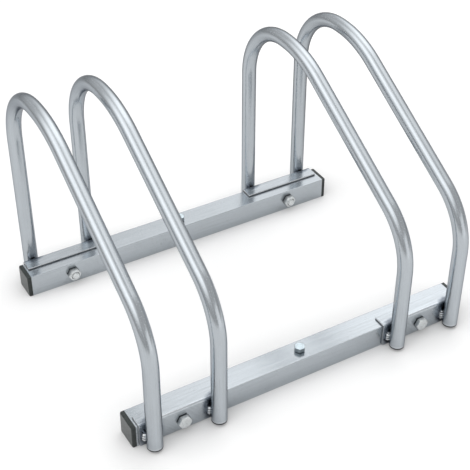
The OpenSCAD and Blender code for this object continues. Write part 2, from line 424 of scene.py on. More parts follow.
def satin_steel(name, rgb, gloss, grain, marks, turn=None, where=None, tint=None, edge=FLAT_EDGE):
    """Bright steel with fine marks along the way that it was drawn or brushed.

    The marks' strength goes for their shade and their depth. A tint, which may hold painted shade and
    painted highlights, is laid over the plain colour.
    """
    recipe = new_finish(name)
    place = where(recipe) if where else recipe.place()
    fine = recipe.grain(place, grain, detail=3.0, rough=0.65, turn=turn)
    coarse = recipe.grain(place, [part * 0.33 for part in grain], turn=turn)
    mottle = recipe.grain(place, 750.0, rough=0.6)
    cloud = recipe.grain(place, 38.0, detail=3.0, rough=0.6)
    pits = recipe.span(recipe.grain(place, 900.0, detail=1.0), 0.24, 0.34, 1.0, 0.0)
    level = 0.955 + (fine * 0.5 + coarse - 0.75) * 0.20 * marks
    level = level + (mottle - 0.5) * 0.12 + cloud * 0.09 - pits * 0.10
    base = recipe.shade(paint(rgb), level)
    if tint:
        base = tint(recipe, base)
    roughness = gloss - 0.06 + fine * 0.08 + cloud * 0.04 + pits * 0.15
    height = fine * 0.7 + coarse * 1.6 - pits * 0.8
    plain = {"Metallic": 1.0, "Specular Tint": edge}
    return recipe.surface(base, roughness, height, 0.004 * MM * marks, plain)


def crossbar_steel(finish):
    """Square tube, drawn along the bar."""
    return satin_steel("crossbar steel", finish.bar_steel, finish.steel_gloss, BAR_GRAIN, 1.1)


def painted_leg_ends(recipe, base):
    """Painted shadow round the foot of each leg, and a painted highlight ring a little above it."""
    _, _, up = recipe.parts(recipe.place())
    end = HOOP_BOX[0].z
    highlight_ring = recipe.fade(up, end + 2.2 * MM, end + 4.2 * MM, 0.55, 0.0)
    shadow_line = recipe.fade(up, end + 1.3 * MM, end + 1.6 * MM, 0.98, 0.0)
    return recipe.blend(shadow_line, recipe.blend(highlight_ring, base, FOOT_HIGHLIGHT), FOOT_SHADOW)


def straightened(recipe):
    """Places on a hoop as if its tube were straight."""
    return recipe.node("ShaderNodeAttribute", {"attribute_name": "straightened"}, output="Vector")


def hoop_steel(finish):
    """Round tube, drawn along its own length, bends included, with painted shade and a painted highlight at
    each leg's foot.
    """
    return satin_steel(
        "hoop steel", finish.hoop_steel, finish.steel_gloss, HOOP_GRAIN, 1.1,
        where=straightened, tint=painted_leg_ends, edge=ROUND_EDGE,
    )


def painted_bend_highlight(recipe, base, along, up):
    """Painted highlight along the bracket's bend."""
    glint = recipe.fade(up, BRACKET_TOP - 1.4 * MM, BRACKET_TOP - 0.5 * MM)
    glint = glint * recipe.span(along, BRACKET_FACE - 2.4 * MM, BRACKET_FACE - 1.6 * MM)
    return recipe.blend(glint * 0.6, base, BEND_HIGHLIGHT)


def painted_gap_shadow(recipe, base, near, along, up):
    """Painted shadow, near black, in the gap behind each leg, above its welds."""
    weld = middle("front_left_welds").z
    gap = recipe.fade(near, 2.0 * MM, 3.0 * MM, 1.0, 0.0)
    gap = gap * recipe.span(along, BRACKET_FACE - 2.2 * MM, BRACKET_FACE - 1.2 * MM)
    gap = gap * recipe.span(up, weld + 6.5 * MM, weld + 7.5 * MM)
    return recipe.blend(gap * 0.97, base, GAP_SHADOW)


def heat_tint_and_shade(recipe, base):
    """Blue heat colours beside the legs' welds, and near black there that is partly scorch and partly
    painted shadow and painted reflection of the leg; with the painted bend highlight and the painted gap
    shadow.
    """
    across, along, up = recipe.parts(recipe.place())
    across, along = abs(across), abs(along)
    near = recipe.maths("MINIMUM", *[abs(across - abs(middle(leg).x)) for leg in LEFT_PAIR])
    rise = (up - middle("front_left_welds").z - 2.0 * MM) * 0.62
    deep = (along - BRACKET_FACE) * 1.5
    away = (near * near + rise * rise + deep * deep) ** 0.5
    away = away + (recipe.grain(recipe.place(), 260.0, detail=3.0) - 0.5) * (4.0 * MM)
    base = painted_bend_highlight(recipe, base, along, up)
    base = recipe.blend(recipe.fade(away, 10.5 * MM, 16.5 * MM, 0.50, 0.0), base, BLUED)
    base = recipe.blend(recipe.fade(away, 9.0 * MM, 15.0 * MM, 0.68, 0.0), base, SCORCH_AND_SHADE)
    return painted_gap_shadow(recipe, base, near, along, up)


def over_the_bend(recipe):
    """Places on a bracket, drawn out along the bar on its top, so that the marks there run lengthwise."""
    across, along, up = recipe.parts(recipe.place())
    flat = recipe.span(up, BRACKET_TOP - 0.32 * MM, BRACKET_TOP - 0.30 * MM, 1.0, 0.08)
    return recipe.node("ShaderNodeCombineXYZ", inputs={0: across * flat, 1: along, 2: up})


def bracket_steel(finish):
    """Sheet, brushed aslant in front and lengthwise on top, with heat colours and painted shade beside each
    leg and a painted highlight along the bend.
    """
    return satin_steel(
        "bracket steel", finish.bracket_steel, finish.steel_gloss + 0.02, SHEET_GRAIN, 1.6,
        turn=(0.0, SHEET_SLANT, 0.0), where=over_the_bend, tint=heat_tint_and_shade,
    )


def cut_edge(finish):
    """The sheet's sheared edges: painted shadow low on the top flange's edges and in the front flange's
    joint with the bar, and above it burnish made brighter as a painted highlight.
    """
    recipe = new_finish("sheared edge")
    place = recipe.place()
    tear = recipe.grain(place, (1500.0, 1500.0, 500.0), detail=3.0, rough=0.6)
    _, along, up = recipe.parts(place)
    above = up - BAR_TOP
    ahead = abs(along) - BAR_FACE
    front = recipe.span(above, -0.2 * MM, 0.2 * MM, 1.0, 0.0)
    edge_shade = recipe.span(above, 1.15 * MM, 1.40 * MM, 1.0, 0.0) * (1.0 - front)
    joint = recipe.span(ahead, 0.45 * MM, 0.75 * MM, 1.0, 0.0) * front
    dark = recipe.maths("MAXIMUM", edge_shade, joint) * 0.97
    base = recipe.blend(1.0 - front, paint(finish.cut_edge), BURNISH_AND_HIGHLIGHT)
    base = recipe.blend(dark, recipe.shade(base, 0.80 + tear * 0.40), EDGE_SHADOW)
    return recipe.surface(base, 0.40 + tear * 0.2, tear, 0.05 * MM, {"Metallic": 0.20})


def weld_metal(finish):
    """Bead metal: bright crowns, with soot and scale in the hollows between the ripples."""
    recipe = new_finish("weld metal")
    place = recipe.place()
    lumps = recipe.grain(place, 700.0, detail=3.0, rough=0.6)
    scale = recipe.grain(place, (330.0, 330.0, 420.0))
    hollow = recipe.node("ShaderNodeAttribute", {"attribute_name": "hollow"}, output="Fac")
    soot = recipe.fade(hollow + (scale - 0.5) * 0.9, 0.38, 0.70, 0.0, 0.94)
    base = recipe.blend(soot, recipe.shade(paint(finish.weld_metal), 0.85 + lumps * 0.3), SOOT)
    return recipe.surface(base, 0.16 + soot * 0.3 + lumps * 0.1, lumps, 0.09 * MM, {"Metallic": 1.0})


def seat_shade(recipe, place, axis, seat, deep, soft, fade):
    """Painted shade deep in the gap at a seat, and softer above it, where it fades out between two
    distances.

    The seat is where the head or nut bears: a distance along Y from the middle, or a height along Z.
    """
    lift = abs(abs(recipe.parts(place)[axis]) - seat)
    gap = recipe.fade(lift, 0.55 * MM, 0.95 * MM, deep, 0.0)
    return recipe.maths("MAXIMUM", gap, recipe.span(lift, fade[0], fade[1], soft, 0.0))


def bore_shade(recipe, place, bore):
    """Painted shade in a ring round a nut's bore, whose radius is given."""
    across, _, up = recipe.parts(place)
    centre = middle("front_left_nut")
    across = abs(across) - abs(centre.x)
    up = up - centre.z
    return recipe.span((across * across + up * up) ** 0.5, bore + 0.3 * MM, bore + 1.1 * MM, 0.92, 0.0)


def zinc_plate(name, rgb, gloss, seat, bore=None):
    """Bright zinc with faint crystals and small specks, and painted shade at its seat and round its bore.
    """
    recipe = new_finish(name)
    place = recipe.place()
    crystals = {"Vector": place, "Scale": 1100.0}
    cells = recipe.node("ShaderNodeTexVoronoi", {"feature": "F1"}, crystals, output="Color")
    flake = recipe.parts(cells)[0]
    cloud = recipe.grain(place, 420.0, detail=3.0, rough=0.6)
    dust = recipe.span(recipe.grain(place, 1500.0, detail=1.0), 0.58, 0.72)
    level = 0.77 + flake * 0.26 + cloud * 0.14 - dust * 0.30
    shade_mask = seat_shade(recipe, place, *seat)
    if bore:
        shade_mask = recipe.maths("MAXIMUM", shade_mask, bore_shade(recipe, place, bore))
    base = recipe.blend(shade_mask, recipe.shade(paint(rgb), level), CREVICE_SHADE)
    roughness = gloss - 0.05 + flake * 0.06 + cloud * 0.06 + shade_mask * 0.3
    plain = {"Metallic": 0.95, "Specular Tint": ROUND_EDGE}
    return recipe.surface(base, roughness, cloud + flake * 0.15, 0.03 * MM, plain)


def bolt_zinc(finish):
    """Zinc of the clamp bolts, which bear on the brackets."""
    seat = (1, BRACKET_FACE, 0.96, 0.55, (0.6 * MM, 4.0 * MM))
    return zinc_plate("zinc bolt", finish.zinc, finish.zinc_gloss, seat)


def lit_nut_zinc(finish, bore):
    """Zinc of the nuts, which bear on the crossbars' inner faces: the bolts' plating made brighter as
    painted light.
    """
    seat = (1, abs(NUT_BOX[0].y), 0.96, 0.72, (0.6 * MM, 6.2 * MM))
    return zinc_plate("zinc nut", finish.lit_nut_zinc, finish.zinc_gloss, seat, bore)


def screw_zinc(finish):
    """Zinc of the floor screws, which bear on the crossbars' tops, with painted shade up to the heads'
    rims.
    """
    seat = (2, BAR_TOP, 0.75, 0.55, (4.9 * MM, 5.35 * MM))
    return zinc_plate("zinc screw", finish.screw_zinc, finish.zinc_gloss, seat)


def moulded_plastic(finish):
    """Black plastic with a fine spark texture and paler dust where hands and floors rub it."""
    recipe = new_finish("moulded plastic")
    place = recipe.place()
    spark = recipe.grain(place, 1800.0, rough=0.6)
    cloud = recipe.grain(place, 160.0, detail=3.0)
    scuff = recipe.span(recipe.grain(place, (90.0, 700.0, 700.0), detail=3.0), 0.60, 0.75)
    pores = recipe.grain(place, 560.0, rough=0.8)
    outside = abs(CAP_BOX[0].x)
    face = recipe.span(abs(recipe.parts(place)[0]), outside - 0.20 * MM, outside - 0.05 * MM)
    base = recipe.shade(paint(finish.plastic), 0.10 + cloud * 0.40 + pores * 1.30)
    base = recipe.blend(scuff * 0.25, base, SCUFFED)
    base = recipe.blend(face * (0.15 + pores * 1.20), base, RUBBED)
    roughness = finish.plastic_gloss - 0.05 + cloud * 0.08 + scuff * 0.08
    return recipe.surface(base, roughness, spark, 0.025 * MM, {"Specular IOR Level": 0.32})


# Mesh tools


# Faces round a drilled hole or a plain shank.
ROUND = 48


def points_of(items):
    """The vertices among an operator's results."""
    return [item for item in items if isinstance(item, bmesh.types.BMVert)]


def rotation(degrees, axis):
    """A turn about an axis through the origin."""
    return Matrix.Rotation(math.radians(degrees), 4, axis)


def carry(bm, matrix):
    """Moves a whole mesh by a matrix."""
    bmesh.ops.transform(bm, matrix=matrix, verts=bm.verts[:])


def face_outwards(bm):
    """Turns every face to point out."""
    bmesh.ops.recalc_face_normals(bm, faces=bm.faces[:])


def carry_on(bm, rim, matrix):
    """An open rim pulled on by a matrix: the new rim and its points."""
    grown = bmesh.ops.extrude_edge_only(bm, edges=rim)["geom"]
    points = points_of(grown)
    bmesh.ops.transform(bm, matrix=matrix, verts=points)
    edges = [item for item in grown if isinstance(item, bmesh.types.BMEdge) and item.is_boundary]
    return edges, points


def close_holes(bm):
    """Flat faces over every open rim."""
    bmesh.ops.holes_fill(bm, edges=[edge for edge in bm.edges if edge.is_boundary], sides=0)


def bevel(bm, geom, size, segments, affect="VERTICES", clamp=False):
    """A round on edges, or on the corners of a flat sheet."""
    bmesh.ops.bevel(
        bm, geom=geom, offset=size, offset_type="OFFSET", segments=segments, profile=0.5,
        affect=affect, material=-1, clamp_overlap=clamp,
    )


def break_edges(bm, size, least=60.0, segments=2):
    """A small round on every edge that turns by more than the least number of degrees."""
    face_outwards(bm)
    limit = math.radians(least)
    sharp = [edge for edge in bm.edges if edge.is_manifold and edge.calc_face_angle() > limit]
    bevel(bm, sharp, size, segments, affect="EDGES", clamp=True)


def turned(profile, steps=ROUND):
    """A closed body of revolution about Z, from (radius, height) points."""
    bm = bmesh.new()
    points = [bm.verts.new((radius, 0.0, height)) for radius, height in profile]
    edges = [bm.edges.new(pair) for pair in zip(points, points[1:])]
    bmesh.ops.spin(
        bm, geom=points + edges, cent=(0, 0, 0), axis=(0, 0, 1), angle=2 * math.pi, steps=steps,
        use_merge=True, use_duplicate=False,
    )
    bmesh.ops.remove_doubles(bm, verts=bm.verts[:], dist=0.001 * MM)
    face_outwards(bm)
    return bm


def rod(diameter, depth, matrix):
    """A plain cylinder along Z, round the origin, moved by a matrix."""
    bm = bmesh.new()
    bmesh.ops.create_cone(
        bm, cap_ends=True, segments=ROUND, radius1=diameter / 2, radius2=diameter / 2, depth=depth,
        matrix=matrix,
    )
    return bm


def as_mesh(bm, name):
    """The mesh of a bmesh, which is used up."""
    mesh = bpy.data.meshes.new(name)
    bm.to_mesh(mesh)
    bm.free()
    return mesh


def in_scene(name, data):
    """A new object of the scene."""
    made = bpy.data.objects.new(name, data)
    bpy.context.scene.collection.objects.link(made)
    return made


def join(body, extra):
    """Adds another mesh to a body as a separate shell. The other is used up."""
    mesh = as_mesh(extra, "joined")
    body.from_mesh(mesh)
    bpy.data.meshes.remove(mesh)


def cut(body, tool, operation):
    """The body after a Boolean with the tool. Both are used up."""
    holders = []
    for bm in (body, tool):
        face_outwards(bm)
        holders.append(in_scene("cut", as_mesh(bm, "cut")))
    step = holders[0].modifiers.new("Cut", "BOOLEAN")
    step.operation = operation
    step.solver = "EXACT"
    step.object = holders[1]
    bpy.context.view_layer.update()
    result = bmesh.new()
    result.from_object(holders[0], bpy.context.evaluated_depsgraph_get())
    for holder in holders:
        mesh = holder.data
        bpy.data.objects.remove(holder)
        bpy.data.meshes.remove(mesh)
    return result


def drill(body, place, turn, diameter, depth):
    """A round hole through the body, centred at a place, along Z turned by a matrix."""
    return cut(body, rod(diameter, depth, Matrix.Translation(place) @ turn), "DIFFERENCE")


def rounded_square(bm, half, radius, x):
    """The outline of a square with round corners, across X."""
    points = bmesh.ops.create_grid(bm, x_segments=1, y_segments=1, size=half)["verts"]
    bevel(bm, points, radius, 6)
    face = max(bm.faces, key=lambda item: item.calc_area())
    points = face.verts[:]
    edges = face.edges[:]
    bmesh.ops.delete(bm, geom=[face], context="FACES_ONLY")
    bmesh.ops.transform(bm, matrix=Matrix.Translation((x, 0, 0)) @ rotation(90, "Y"), verts=points)
    return edges


def add_piece(bm, name, node, slot, *materials, smooth=30.0):
    """A finished mesh becomes a piece that rides on the stand and stands for its CAD node."""
    face_outwards(bm)
    mesh = as_mesh(bm, name)
    mesh.shade_smooth()
    mesh.set_sharp_from_angle(angle=math.radians(smooth))
    for material in materials:
        mesh.materials.append(material)
    piece = in_scene(name, mesh)
    even = piece.modifiers.new("Even shading", "WEIGHTED_NORMAL")
    even.keep_sharp = True
    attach(piece, BODY)
    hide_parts(node)


def add_at_corners(settings, build, kind, ending, slot, *materials, smooth=30.0):
    """A piece of one kind for each corner: built as the front left one, then mirrored to its place."""
    for corner, signs in CORNERS.items():
        node = corner + kind
        bm = build(settings)
        carry(bm, Matrix.Diagonal((*signs, 1, 1)))
        add_piece(bm, node + ending, node, slot, *materials, smooth=smooth)


# Crossbars


def crossbar_mesh(sizes):
    """Square tube along X, round its own middle, with open ends."""
    low, high = BAR_BOX
    half = (high.z - low.z) / 2
    bm = bmesh.new()
    outer = rounded_square(bm, half, sizes.corner, low.x)
    inner = rounded_square(bm, half - sizes.wall, sizes.bore_corner, low.x)
    ring = bmesh.ops.bridge_loops(bm, edges=outer + inner)["faces"]
    wall = bmesh.ops.extrude_face_region(bm, geom=ring)["geom"]
    bmesh.ops.translate(bm, vec=(high.x - low.x, 0, 0), verts=points_of(wall))
    break_edges(bm, 0.2 * MM)
    return bm


def add_crossbars(settings):
    """Both crossbars, drilled for two clamp bolts and one floor screw."""
    sizes = settings.bar
    material = crossbar_steel(settings.finish)
    depth = (BAR_BOX[1].z - BAR_BOX[0].z) * 1.5
    for bar in BARS:
        node = bar + "_crossbar"
        bm = crossbar_mesh(sizes)
        for side in ("_left_bolt", "_right_bolt"):
            bm = drill(bm, (middle(bar + side).x, 0, 0), rotation(90, "X"), sizes.bolt_hole, depth)
        hole = (middle(bar + "_floor_screw").x, 0, 0)
        bm = drill(bm, hole, Matrix.Identity(4), sizes.screw_hole, depth)
        carry(bm, Matrix.Translation(middle(node)))
        add_piece(bm, node + "_tube", node, "crossbar_steel", material)


# Hoops


# The steps in which a tube is made: degrees of a bend, and metres of a straight stretch.
BEND_STEP = 3
STRAIGHT_STEP = 20 * MM


def hoop_route(sizes, radius):
    """The stretches of a hoop from its rear foot to its front foot. The drop ends above the floor."""
    rise = sizes.height - radius - sizes.rear_bend - sizes.clear
    sine = math.sin(sizes.slope)
    flat = 2 * (sizes.reach - radius) - sizes.rear_bend - sizes.crown
    flat = flat - sizes.brow_bend * sine - sizes.front_bend * (1 - sine)
    quarter = math.radians(90)
    return [
        ("straight", rise),
        ("bend", sizes.rear_bend, quarter),
        ("straight", sizes.crown),
        ("bend", sizes.brow_bend, sizes.slope),
        ("straight", flat / math.cos(sizes.slope)),
        ("bend", sizes.front_bend, quarter - sizes.slope),
        ("drop", sizes.clear),
    ]


def stretch_steps(place, heading, kind, size, sweep=0.0):
    """How one stretch of a hoop goes on: its steps, a step's length, its matrix and its turn."""
    if kind == "bend":
        steps = math.ceil(math.degrees(sweep) / BEND_STEP)
        centre = place + rotation(90, "X").to_3x3() @ heading * size
        turn = Matrix.Rotation(sweep / steps, 4, "X")
        matrix = Matrix.Translation(centre) @ turn @ Matrix.Translation(-centre)
        return steps, size * sweep / steps, matrix, turn
    run = place.z - size if kind == "drop" else size
    steps = max(1, math.ceil(run / STRAIGHT_STEP))
    return steps, run / steps, Matrix.Translation(heading * run / steps), Matrix.Identity(4)


def hoop_mesh(sizes, x):
    """A round tube bent like the hoop, from the end of its rear leg to the end of its front leg."""
    radius = (HOOP_BOX[1].x - HOOP_BOX[0].x) / 2
    bm = bmesh.new()
    layer = bm.verts.layers.float_vector.new("straightened")
    start = Vector((x, sizes.reach - radius, sizes.clear))
    foot = Matrix.Translation(start)
    for size in (radius, radius - sizes.wall):
        bmesh.ops.create_circle(bm, cap_ends=False, segments=sizes.sides, radius=size, matrix=foot)
    for point in bm.verts:
        point[layer] = point.co - start
    rim = bm.edges[:]
    first = list(rim)
    place = start.copy()
    heading = Vector((0, 0, 1))
    along = 0.0
    for stretch in hoop_route(sizes, radius):
        steps, stride, matrix, turn = stretch_steps(place, heading, *stretch)
        for _ in range(steps):
            rim, points = carry_on(bm, rim, matrix)
            along += stride
            place = matrix @ place
            heading = (turn.to_3x3() @ heading).normalized()
            for point in points:
                point[layer] = Vector((point[layer].x, point[layer].y, along))
    bmesh.ops.bridge_loops(bm, edges=first)
    bmesh.ops.bridge_loops(bm, edges=rim)
    break_edges(bm, sizes.rim, segments=3)
    return bm


def add_hoops(settings):
    """The four hoops."""
    material = hoop_steel(settings.finish)
    for node in HOOPS:
        bm = hoop_mesh(settings.hoop, middle(node).x)
        add_piece(bm, node + "_tube", node, "hoop_steel", material)


# Brackets


def bracket_profile(bm, sizes, low, high):
    """The sheet's outer line, from its foot up over the bend to its lip."""
    foot = bm.verts.new(low)
    knee = bmesh.ops.extrude_vert_indiv(bm, verts=[foot])["verts"][0]
    knee.co.z = high.z - sizes.bend
    bent = bmesh.ops.spin(
        bm, geom=[knee], cent=(low.x, low.y + sizes.bend, high.z - sizes.bend), axis=(1, 0, 0),
        angle=math.radians(-90), steps=8, use_duplicate=False,
    )["geom_last"]
    lip = bmesh.ops.extrude_vert_indiv(bm, verts=points_of(bent))["verts"][0]
    lip.co.y = high.y


def bracket_mesh(settings):
    """The front left bracket: sheet bent over the crossbar, with round free corners and a bolt hole."""
    sizes = settings.bracket
    low, high = BRACKET_BOX
    low = low + Vector((sizes.trim, 0, 0))
    high = high - Vector((0, 1.5 * sizes.trim, 0))
    bm = bmesh.new()
    bracket_profile(bm, sizes, low, high)
    grown = bmesh.ops.extrude_edge_only(bm, edges=bm.edges[:])["geom"]
    bmesh.ops.translate(bm, vec=(high.x - low.x, 0, 0), verts=points_of(grown))
    face_outwards(bm)
    near = 0.001 * MM
    free = [
        point for point in bm.verts
        if len(point.link_faces) == 1 and (point.co.z < low.z + near or point.co.y > high.y - near)
    ]
    bevel(bm, free, sizes.corner, 6)
    outside = max(bm.faces, key=lambda face: face.calc_area())
    if outside.normal.y > 0.5:
        bmesh.ops.reverse_faces(bm, faces=bm.faces[:])
    bmesh.ops.solidify(bm, geom=bm.faces[:], thickness=sizes.sheet)
    break_edges(bm, sizes.edge, least=70.0)
    mark_cut_edges(bm, sizes, low, high)
    hole = middle("front_left_bolt")
    place = (hole.x, BRACKET_BOX[0].y, hole.z)
    return drill(bm, place, rotation(90, "X"), settings.bar.bolt_hole, 20 * MM)


def mark_cut_edges(bm, sizes, low, high):
    """The second material goes to the faces that the shears left."""
    for face in bm.faces:
        centre = face.calc_center_median()
        if centre.z < high.z - sizes.bend:
            sheared = abs(face.normal.y) < 0.3
        elif centre.y > low.y + sizes.bend:
            sheared = abs(face.normal.z) < 0.3
        else:
            sheared = abs(face.normal.x) > 0.95
        face.material_index = 1 if sheared else 0


def add_brackets(settings):
    """The four brackets."""
    sheet = bracket_steel(settings.finish)
    edge = cut_edge(settings.finish)
    add_at_corners(settings, bracket_mesh, "_bracket", "_sheet", "bracket_steel", sheet, edge)


# Welds


# A bead's steps from end to end, its radius at the ends as a share of the full one, and its lumps.
BEAD_STEPS = 44
BEAD_END = 0.45
LUMPS_PER_METRE = 520.0
LUMP_SIZE = 0.28


def weld_bead(bm, place, sizes, height, seed):
    """One bead standing in the groove beside a leg, with ripples and an uneven skin."""
    stride = height / BEAD_STEPS
    before = set(bm.verts)
    layer = bm.verts.layers.float.get("hollow") or bm.verts.layers.float.new("hollow")
    level = BEAD_END
    start = place - Vector((0, 0, height / 2))
    made = bmesh.ops.create_circle(
        bm, cap_ends=True, segments=20, radius=sizes.radius * level, matrix=Matrix.Translation(start)
    )["verts"]
    rim = list({edge for point in made for edge in point.link_edges})
    for step in range(1, BEAD_STEPS + 1):
        up = step / BEAD_STEPS
        swell = min(1.0, BEAD_END + 2.6 * min(up, 1 - up))
        hollow = 1 - abs(math.sin(math.pi * step * stride / sizes.ripple + seed))
        wanted = swell * (1 - hollow * sizes.depth / sizes.radius)
        centre = start + Vector((0, 0, step * stride))
        matrix = (
            Matrix.Translation(centre)
            @ Matrix.Diagonal((wanted / level, wanted / level, 1, 1))
            @ Matrix.Translation(-centre)
            @ Matrix.Translation((0, 0, stride))
        )
        rim, points = carry_on(bm, rim, matrix)
        for point in points:
            point[layer] = hollow
        level = wanted
    bmesh.ops.holes_fill(bm, edges=rim, sides=0)
    for point in set(bm.verts) - before:
        away = Vector((point.co.x - place.x, point.co.y - place.y, 0))
        lump = noise.noise(point.co * LUMPS_PER_METRE + Vector((seed * 7.0, seed * 3.0, 0)))
        point.co += away * lump * LUMP_SIZE


def welds_mesh(settings):
    """The beads of the front left bracket: one on each side of both legs."""
    sizes = settings.weld
    bm = bmesh.new()
    low, high = WELD_BOX
    seed = 0.0
    for leg in LEFT_PAIR:
        for side in (-1, 1):
            seed += 1.3
            place = Vector((
                middle(leg).x + side * sizes.offset,
                BRACKET_BOX[0].y - 0.35 * sizes.radius,
                (low.z + high.z) / 2,
            ))
            weld_bead(bm, place, sizes, high.z - low.z, seed)
    return bm


def add_welds(settings):
    """The weld beads, in one group for each bracket."""
    material = weld_metal(settings.finish)
    add_at_corners(settings, welds_mesh, "_welds", "_beads", "weld_metal", material, smooth=75.0)


# Fasteners


# The broken edges of heads and nuts: their size, and the least turn of such an edge in degrees.
HEX_EDGE = 0.15 * MM
HEX_TURN = 25.0

# A thread's depth as a share of its pitch.
THREAD_DEPTH = 0.6134


def hexagon_mesh(sizes, across, height, both=False):
    """A hexagon on a narrow round collar that stands on z = 0, with its corners turned off.

    The corners are turned off at the top, and where both is set, at the bottom too.
    """
    corner = across / math.sqrt(3)
    flat = across * sizes.land / 2
    wide = corner * 1.02
    neck = across * 0.44
    drop = (wide - flat) * math.tan(math.radians(30))
    bm = bmesh.new()
    bmesh.ops.create_circle(bm, cap_ends=True, segments=6, radius=corner, matrix=rotation(90, "Z"))
    grown = bmesh.ops.extrude_face_region(bm, geom=bm.faces[:])["geom"]
    bmesh.ops.translate(bm, vec=(0, 0, height), verts=points_of(grown))
    profile = [(0, 0), (neck, 0), (neck, sizes.collar), (wide, sizes.collar)]
    if both:
        profile[3:] = [(flat, sizes.collar), (wide, sizes.collar + drop)]
    profile += [(wide, height - drop), (flat, height), (0, height)]
    return cut(bm, turned(profile, 72), "INTERSECT")


def thread_mesh(diameter, pitch, top, bottom, tip):
    """A threaded rod between two heights: one pitch of the thread's profile, spun along a helix."""
    steps = 24
    crest = diameter / 2
    root = crest - THREAD_DEPTH * pitch
    turns = math.ceil((top - bottom) / pitch) + 2
    bm = bmesh.new()
    shape = ((root, 0.0), (root, 0.25), (crest, 0.5625), (crest, 0.6875), (root, 1.0))
    points = [bm.verts.new((radius, 0, bottom + (up - 1.5) * pitch)) for radius, up in shape]
    edges = [bm.edges.new(pair) for pair in zip(points, points[1:])]
    bmesh.ops.spin(
        bm, geom=points + edges, cent=(0, 0, 0), axis=(0, 0, 1), dvec=(0, 0, pitch / steps),
        angle=2 * math.pi * turns, steps=steps * turns, use_duplicate=False,
    )
    bmesh.ops.remove_doubles(bm, verts=bm.verts[:], dist=0.002 * MM)
    for height, up in ((bottom, 1), (top, -1)):
        bmesh.ops.bisect_plane(
            bm, geom=bm.verts[:] + bm.edges[:] + bm.faces[:], dist=0.0005 * MM,
            plane_co=(0, 0, height), plane_no=(0, 0, up), clear_inner=True,
        )
    close_holes(bm)
    for point in bm.verts:
        limit = crest - tip + max(0.0, point.co.z - bottom)
        out = math.hypot(point.co.x, point.co.y)
        if out > limit:
            point.co.x *= limit / out
            point.co.y *= limit / out
    return bm


def set_on_bar(bm, node, seat):
    """A head or nut made on z = 0 goes to its node: Z points out of the stand, from the seat's distance."""
    centre = middle(node)
    side = -1
    turn = rotation(90, "X")
    if node.startswith("rear"):
        side = 1
        turn = rotation(180, "Z") @ turn
    carry(bm, Matrix.Translation((centre.x, side * seat, centre.z)) @ turn)


def bolt_mesh(sizes, shank):
    """A bolt with its seat on z = 0, and its shank's tip at the given height."""
    bm = hexagon_mesh(sizes, sizes.bolt_hex, sizes.bolt_head)
    break_edges(bm, HEX_EDGE, least=HEX_TURN)
    top, bottom = 0.5 * MM, shank * 0.4
    centred = Matrix.Translation((0, 0, (top + bottom) / 2))
    join(bm, rod(sizes.bolt * 0.985, top - bottom, centred))
    join(bm, thread_mesh(sizes.bolt, sizes.bolt_pitch, shank * 0.38, shank, sizes.tip))
    return bm


def add_bolts(settings):
    """The four clamp bolts, with their heads on the brackets."""
    material = bolt_zinc(settings.finish)
    shank = abs(BOLT_BOX[1].y) - BRACKET_FACE
    for corner in CORNERS:
        node = corner + "_bolt"
        bm = bolt_mesh(settings.fastener, shank)
        set_on_bar(bm, node, BRACKET_FACE)
        add_piece(bm, node + "_hex", node, "zinc_hardware", material)


def nut_mesh(sizes, height):
    """A nut on z = 0, with a chamfered bore that clears the thread."""
    bore = sizes.bolt / 2 + 0.1 * MM
    sink = 0.5 * MM
    over = 1.0 * MM
    mouth = bore + sink + over
    profile = [(0, -over), (mouth, -over), (bore, sink), (bore, height - sink)]
    profile += [(mouth, height + over), (0, height + over)]
    bm = hexagon_mesh(sizes, sizes.bolt_hex, height, both=True)
    bm = cut(bm, turned(profile), "DIFFERENCE")
    break_edges(bm, HEX_EDGE, least=HEX_TURN)
    return bm


def add_nuts(settings):
    """The four nuts, on the crossbars' inner faces."""
    sizes = settings.fastener
    height = NUT_BOX[1].y - NUT_BOX[0].y
    material = lit_nut_zinc(settings.finish, sizes.bolt / 2)
    for corner in CORNERS:
        node = corner + "_nut"
        bm = nut_mesh(sizes, height)
        set_on_bar(bm, node, abs(middle(node).y) - height / 2)
        add_piece(bm, node + "_hex", node, "zinc_hardware", material)


def add_floor_screws(settings):
    """The two floor screws, through the crossbars' middles."""
    sizes = settings.fastener
    material = screw_zinc(settings.finish)
    bottom = SCREW_BOX[0].z - BAR_TOP
    for bar in BARS:
        node = bar + "_floor_screw"
        centre = middle(node)
        bm = hexagon_mesh(sizes, sizes.screw_hex, sizes.screw_head)
        break_edges(bm, HEX_EDGE, least=HEX_TURN)
        join(bm, thread_mesh(sizes.screw, sizes.screw_pitch, 0.5 * MM, bottom, sizes.tip))
        carry(bm, Matrix.Translation((centre.x, centre.y, BAR_TOP)))
        add_piece(bm, node + "_hex", node, "zinc_hardware", material)


# End caps


def cap_stations(sizes, half, crest):
    """The cap's half widths along X, from its chamfer over the head and the ribs to inside the plug."""
    low, high = CAP_BOX
    mouth = low.x + sizes.head
    plug = crest - sizes.rib_height
    stations = [(low.x + sizes.chamfer, half), (mouth, half), (mouth, plug)]
    room = (high.x - mouth) / (sizes.ribs + 0.5)
    for number in range(sizes.ribs):
        near = mouth + room * (number + 0.5)
        far = near + sizes.rib_width
        stations += [(near, plug), (near + 0.3 * MM, crest), (far, crest), (far, plug)]
    inside = plug - sizes.plug_wall
    return stations + [(high.x, plug), (high.x, inside), (mouth, inside)]


